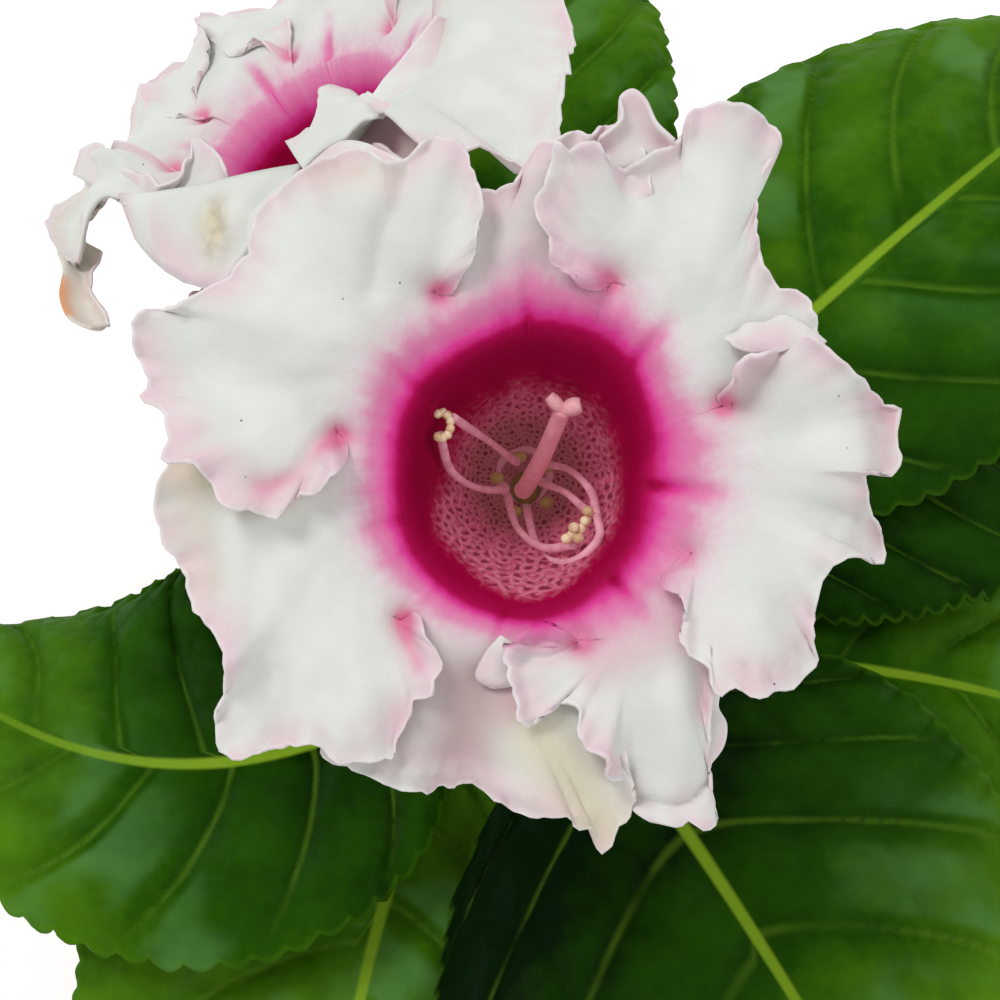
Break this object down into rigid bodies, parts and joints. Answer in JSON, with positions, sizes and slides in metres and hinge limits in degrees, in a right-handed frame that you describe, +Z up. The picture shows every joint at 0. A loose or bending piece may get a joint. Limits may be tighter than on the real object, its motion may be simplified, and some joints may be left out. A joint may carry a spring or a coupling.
{
  "type": "potted gloxinia",
  "caption": "Flowering gloxinia in a plain clay pot: broad crenate leaves round a short stem, with open frilled white blooms with crimson throats.",
  "frame": {"origin": "centre of the pot's foot, on the surface that it stands on", "axes": "+Z up; -Y towards the side from which the front bloom is seen; +X to that viewer's right"},
  "size_m": [0.2385, 0.3055, 0.2741],
  "materials": {
    "clay": "unglazed fired clay",
    "soil": "crumbly dark peat soil",
    "stem": "matte, hairy",
    "leaf": "velvety, soft sheen",
    "petal": "satin, white with a crimson throat",
    "calyx": "matte, hairy",
    "stamen": "smooth",
    "pistil": "smooth"
  },
  "bodies": {
    "root": {"pot": "clay", "soil": "soil", "tuber_and_stem": "stem", "leaf_a": "leaf", "leaf_b": "leaf", "leaf_c": "leaf", "leaf_d": "leaf", "leaf_e": "leaf", "leaf_f": "leaf", "leaf_g": "leaf", "leaf_h": "leaf", "leaf_i": "leaf", "bloom_1_corolla": "petal", "bloom_1_calyx": "calyx", "bloom_1_stamens": "stamen", "bloom_1_pistil": "pistil", "bloom_2_corolla": "petal", "bloom_2_calyx": "calyx", "bloom_2_stamens": "stamen", "bloom_2_pistil": "pistil"}
  },
  "joints": []
}
